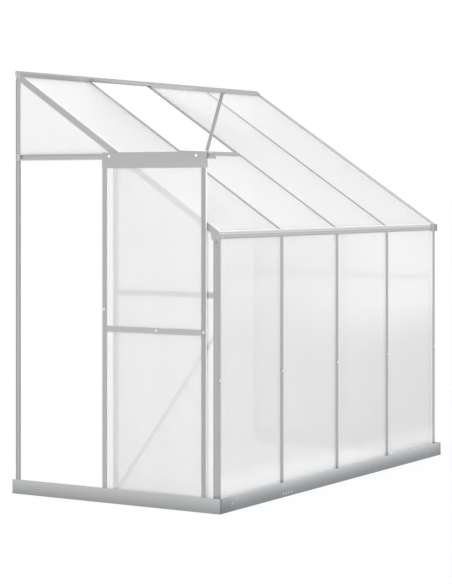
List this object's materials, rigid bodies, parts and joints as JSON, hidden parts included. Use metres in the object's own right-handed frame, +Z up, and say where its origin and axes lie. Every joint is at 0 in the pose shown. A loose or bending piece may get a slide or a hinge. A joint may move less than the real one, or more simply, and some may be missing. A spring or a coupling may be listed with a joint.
{
  "type": "lean-to greenhouse",
  "caption": "Lean-to greenhouse: folded steel base, aluminium bars with twin-wall sheets, a sliding gable door and a roof vent propped on a stay.",
  "frame": {"origin": "centre of the bounding box at ground level", "axes": "+X along the house wall away from the door gable, +Y towards the house wall, +Z up"},
  "size_m": [2.52, 1.2778, 2.212],
  "materials": {
    "aluminium": "mill finish, satin",
    "zinc_steel": "galvanised, satin",
    "twin_wall": "fluted, translucent",
    "nylon": "moulded"
  },
  "bodies": {
    "frame": {"base_front_far": "zinc_steel", "base_front_near": "zinc_steel", "base_gable_far": "zinc_steel", "base_gable_near": "zinc_steel", "brace_far": "aluminium", "brace_near": "aluminium", "corner_post_far": "aluminium", "corner_post_near": "aluminium", "door_post": "aluminium", "door_track": "aluminium", "eave_gutter": "aluminium", "end_rafter_far": "aluminium", "end_rafter_near": "aluminium", "front_bar_1": "aluminium", "front_bar_2": "aluminium", "front_bar_3": "aluminium", "front_panel_1": "twin_wall", "front_panel_2": "twin_wall", "front_panel_3": "twin_wall", "front_panel_4": "twin_wall", "gable_bar_far": "aluminium", "gable_panel_far_eave": "twin_wall", "gable_panel_far_wall": "twin_wall", "gable_panel_near_lower": "twin_wall", "gable_panel_near_upper": "twin_wall", "gable_panel_over_door": "twin_wall", "girt_far": "aluminium", "girt_near": "aluminium", "gutter_cap_far": "aluminium", "gutter_cap_near": "aluminium", "ridge_bar": "aluminium", "roof_bar_1": "aluminium", "roof_bar_2": "aluminium", "roof_bar_3": "aluminium", "roof_panel_1": "twin_wall", "roof_panel_2": "twin_wall", "roof_panel_3": "twin_wall", "roof_panel_4": "twin_wall", "sill_front": "aluminium", "sill_gable_far": "aluminium", "sill_gable_near": "aluminium", "track_stop": "aluminium", "vent_sill": "aluminium", "wall_post_far": "aluminium", "wall_post_near": "aluminium"},
    "door": {"door_bottom_rail": "aluminium", "door_mid_rail": "aluminium", "door_pane_lower": "twin_wall", "door_pane_upper": "twin_wall", "door_stile_eave": "aluminium", "door_stile_wall": "aluminium", "door_top_rail": "aluminium"},
    "roller_wall": {"door_roller_wall": "nylon"},
    "roller_eave": {"door_roller_eave": "nylon"},
    "vent": {"vent_foot_rail": "aluminium", "vent_head_rail": "aluminium", "vent_panel": "twin_wall", "vent_side_rail_far": "aluminium", "vent_side_rail_near": "aluminium"},
    "stay": {"vent_stay": "aluminium"}
  },
  "joints": [
    {"name": "door_slide", "type": "slide", "parent": "frame", "child": "door", "axis": [0, 1, 0], "range_m": [-0.05, 0.557]},
    {"name": "roller_wall_spin", "type": "hinge", "parent": "door", "child": "roller_wall", "pos_m": [-1.2423, 0.0269, 1.75759], "axis": [1, 0, 0], "continuous": true},
    {"name": "roller_eave_spin", "type": "hinge", "parent": "door", "child": "roller_eave", "pos_m": [-1.2423, -0.4961, 1.75759], "axis": [1, 0, 0], "continuous": true},
    {"name": "vent_hinge", "type": "hinge", "parent": "frame", "child": "vent", "pos_m": [-0.3015, 0.6149, 2.19704], "axis": [1, 0, 0], "range_deg": [0, 27.66]},
    {"name": "stay_pivot", "type": "hinge", "parent": "vent", "child": "stay", "pos_m": [-0.3015, -0.05984, 2.11081], "axis": [1, 0, 0], "range_deg": [0, 68.11]}
  ],
  "couplings": [
    {"joint": "roller_wall_spin", "follows": "door_slide", "rad_per_m": -68.966},
    {"joint": "roller_eave_spin", "follows": "door_slide", "rad_per_m": -68.966},
    {"joint": "stay_pivot", "follows": "vent_hinge", "ratio": 2.459}
  ]
}
